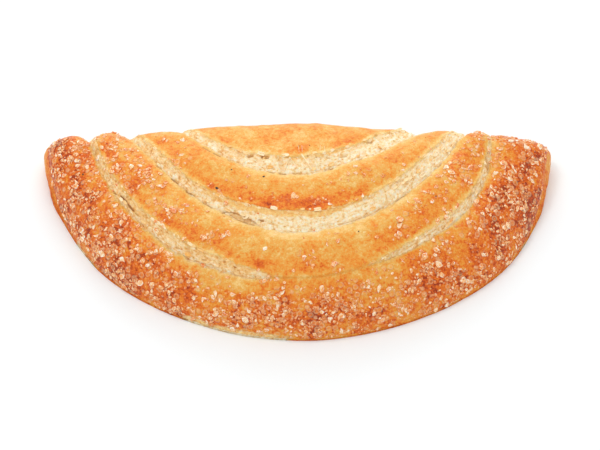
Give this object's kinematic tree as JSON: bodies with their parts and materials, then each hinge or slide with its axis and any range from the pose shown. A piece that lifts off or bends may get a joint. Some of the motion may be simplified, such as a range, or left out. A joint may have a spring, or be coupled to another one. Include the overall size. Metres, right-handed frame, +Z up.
{
  "type": "apple pastry",
  "caption": "Half-moon puff pastry turnover with a rounded fold, curved cuts across the top and coarse sugar baked on.",
  "frame": {"origin": "middle of the flat base the pastry rests on, at the centre of its length and depth", "axes": "+X along the fold, towards the right end as seen from the round rim; +Y from the round rim towards the fold; +Z up"},
  "size_m": [0.1508, 0.0704, 0.0269],
  "materials": {
    "crust": "golden brown baked puff pastry, faintly glossy from sugar"
  },
  "bodies": {
    "root": {"turnover": "crust"}
  },
  "joints": []
}
